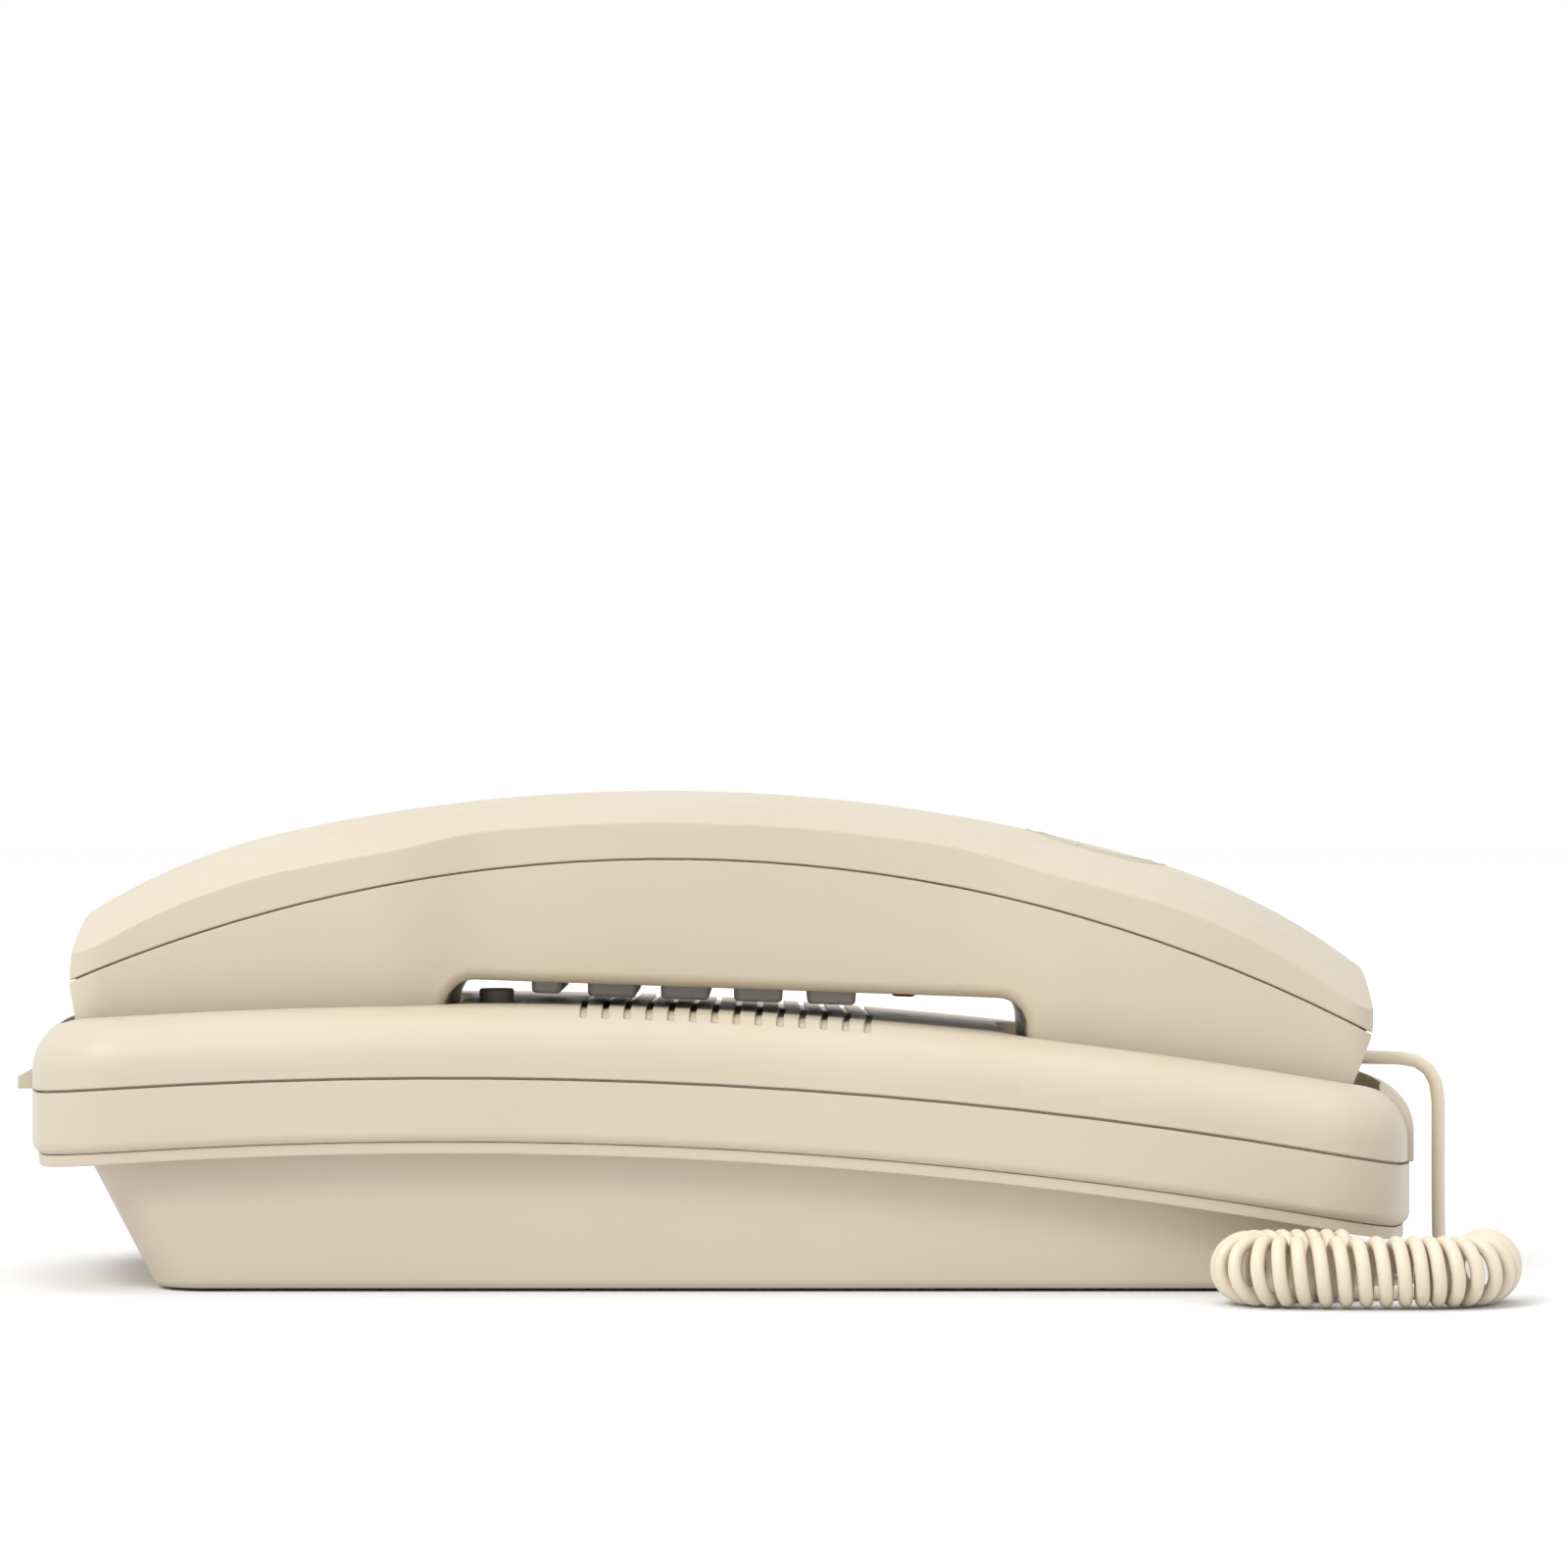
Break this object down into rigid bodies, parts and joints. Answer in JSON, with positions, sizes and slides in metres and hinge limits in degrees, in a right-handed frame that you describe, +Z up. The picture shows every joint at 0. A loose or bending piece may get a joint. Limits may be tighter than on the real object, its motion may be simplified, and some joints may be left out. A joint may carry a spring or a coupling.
{
  "type": "corded landline phone",
  "caption": "Long narrow corded desk phone: a crowned handset with the keypad in its inner face rests in the wells of an arched base on a wedge stand, with a curly cord laid beside it.",
  "frame": {"origin": "centre of the bottom of the phone's box, without its cord, on the surface that the feet stand on", "axes": "+X along the phone towards the mouthpiece and cord end, +Y across it, +Z up"},
  "size_m": [0.2359, 0.1155, 0.0777],
  "materials": {
    "shell_cream": "satin moulded",
    "shell_inner": "fine matte",
    "key_grey": "satin",
    "key_red": "gloss",
    "plate_grey": "satin",
    "knob_dark": "satin",
    "lens_red": "clear tinted",
    "cord_cream": "satin soft vinyl",
    "plug_clear": "satin",
    "rubber_dark": "matte",
    "steel": "zinc plated",
    "board_green": "solder mask",
    "black_plastic": "matte",
    "copper": "lacquered winding",
    "iron": "bare plate"
  },
  "bodies": {
    "base": {"base_top_shell": "shell_cream", "base_bottom_shell": "shell_cream", "desk_stand": "shell_cream", "lamp_lens": "lens_red", "lamp_led": "black_plastic", "main_board": "board_green", "sounder": "black_plastic", "line_jack": "black_plastic", "cord_jack": "black_plastic", "hook_switch": "black_plastic", "hook_spring": "steel", "volume_pot": "steel", "mode_switch_body": "black_plastic", "hanger_clip": "knob_dark", "transformer": "copper", "capacitors": "black_plastic", "housing_screws": "steel", "stand_screws": "steel", "rubber_feet": "rubber_dark", "ballast_plate": "iron", "base_plug": "plug_clear", "base_lead": "cord_cream", "cord_coil": "cord_cream", "handset_lead": "cord_cream"},
    "handset": {"handset_back_shell": "shell_cream", "handset_front_shell": "shell_cream", "badge_ring": "shell_cream", "dial_plate": "plate_grey", "key_mat": "rubber_dark", "key_board": "board_green", "receiver": "black_plastic", "receiver_gasket": "rubber_dark", "microphone": "steel", "microphone_boot": "rubber_dark", "handset_weight": "iron", "handset_jack": "black_plastic", "handset_plug": "plug_clear", "handset_screws": "steel"},
    "hook": {"hook_plunger": "shell_cream"},
    "volume": {"volume_knob": "knob_dark"},
    "mode_switch": {"mode_switch_knob": "shell_cream"},
    "key_1_body": {"key_1": "key_grey"},
    "key_2_body": {"key_2": "key_grey"},
    "key_3_body": {"key_3": "key_grey"},
    "key_4_body": {"key_4": "key_grey"},
    "key_5_body": {"key_5": "key_grey"},
    "key_6_body": {"key_6": "key_grey"},
    "key_7_body": {"key_7": "key_grey"},
    "key_8_body": {"key_8": "key_grey"},
    "key_9_body": {"key_9": "key_grey"},
    "key_star_body": {"key_star": "key_grey"},
    "key_0_body": {"key_0": "key_grey"},
    "key_pound_body": {"key_pound": "key_grey"},
    "redial_key_body": {"redial_key": "key_grey"},
    "mute_key_body": {"mute_key": "key_grey"},
    "volume_key_body": {"volume_key": "key_grey"},
    "flash_key_body": {"flash_key": "key_red"}
  },
  "joints": [
    {"name": "handset_lift", "type": "slide", "parent": "base", "child": "handset", "axis": [0, 0, 1], "range_m": [0, 0.07]},
    {"name": "hook_travel", "type": "slide", "parent": "base", "child": "hook", "axis": [0, 0, 1], "range_m": [0, 0.0025]},
    {"name": "volume_turn", "type": "hinge", "parent": "base", "child": "volume", "pos_m": [-0.0344, -0.015, 0.0465], "axis": [0, 0, 1], "range_deg": [-140, 140]},
    {"name": "mode_slide", "type": "slide", "parent": "base", "child": "mode_switch", "axis": [0, 1, 0], "range_m": [-0.0018, 0.0018]},
    {"name": "key_1_press", "type": "slide", "parent": "handset", "child": "key_1_body", "axis": [0.0349, 0, 0.9994], "range_m": [0, 0.001], "stiffness_N_per_m": 400, "springref_m": -0.0002},
    {"name": "key_2_press", "type": "slide", "parent": "handset", "child": "key_2_body", "axis": [0.0349, 0, 0.9994], "range_m": [0, 0.001], "stiffness_N_per_m": 400, "springref_m": -0.0002},
    {"name": "key_3_press", "type": "slide", "parent": "handset", "child": "key_3_body", "axis": [0.0349, 0, 0.9994], "range_m": [0, 0.001], "stiffness_N_per_m": 400, "springref_m": -0.0002},
    {"name": "key_4_press", "type": "slide", "parent": "handset", "child": "key_4_body", "axis": [0.0349, 0, 0.9994], "range_m": [0, 0.001], "stiffness_N_per_m": 400, "springref_m": -0.0002},
    {"name": "key_5_press", "type": "slide", "parent": "handset", "child": "key_5_body", "axis": [0.0349, 0, 0.9994], "range_m": [0, 0.001], "stiffness_N_per_m": 400, "springref_m": -0.0002},
    {"name": "key_6_press", "type": "slide", "parent": "handset", "child": "key_6_body", "axis": [0.0349, 0, 0.9994], "range_m": [0, 0.001], "stiffness_N_per_m": 400, "springref_m": -0.0002},
    {"name": "key_7_press", "type": "slide", "parent": "handset", "child": "key_7_body", "axis": [0.0349, 0, 0.9994], "range_m": [0, 0.001], "stiffness_N_per_m": 400, "springref_m": -0.0002},
    {"name": "key_8_press", "type": "slide", "parent": "handset", "child": "key_8_body", "axis": [0.0349, 0, 0.9994], "range_m": [0, 0.001], "stiffness_N_per_m": 400, "springref_m": -0.0002},
    {"name": "key_9_press", "type": "slide", "parent": "handset", "child": "key_9_body", "axis": [0.0349, 0, 0.9994], "range_m": [0, 0.001], "stiffness_N_per_m": 400, "springref_m": -0.0002},
    {"name": "key_star_press", "type": "slide", "parent": "handset", "child": "key_star_body", "axis": [0.0349, 0, 0.9994], "range_m": [0, 0.001], "stiffness_N_per_m": 400, "springref_m": -0.0002},
    {"name": "key_0_press", "type": "slide", "parent": "handset", "child": "key_0_body", "axis": [0.0349, 0, 0.9994], "range_m": [0, 0.001], "stiffness_N_per_m": 400, "springref_m": -0.0002},
    {"name": "key_pound_press", "type": "slide", "parent": "handset", "child": "key_pound_body", "axis": [0.0349, 0, 0.9994], "range_m": [0, 0.001], "stiffness_N_per_m": 400, "springref_m": -0.0002},
    {"name": "redial_key_press", "type": "slide", "parent": "handset", "child": "redial_key_body", "axis": [0.0349, 0, 0.9994], "range_m": [0, 0.001], "stiffness_N_per_m": 400, "springref_m": -0.0002},
    {"name": "mute_key_press", "type": "slide", "parent": "handset", "child": "mute_key_body", "axis": [0.0349, 0, 0.9994], "range_m": [0, 0.001], "stiffness_N_per_m": 400, "springref_m": -0.0002},
    {"name": "volume_key_press", "type": "slide", "parent": "handset", "child": "volume_key_body", "axis": [0.0349, 0, 0.9994], "range_m": [0, 0.001], "stiffness_N_per_m": 400, "springref_m": -0.0002},
    {"name": "flash_key_press", "type": "slide", "parent": "handset", "child": "flash_key_body", "axis": [0.0349, 0, 0.9994], "range_m": [0, 0.001], "stiffness_N_per_m": 400, "springref_m": -0.0002}
  ],
  "couplings": [
    {"joint": "hook_travel", "follows": "handset_lift", "ratio": 0.035714}
  ]
}
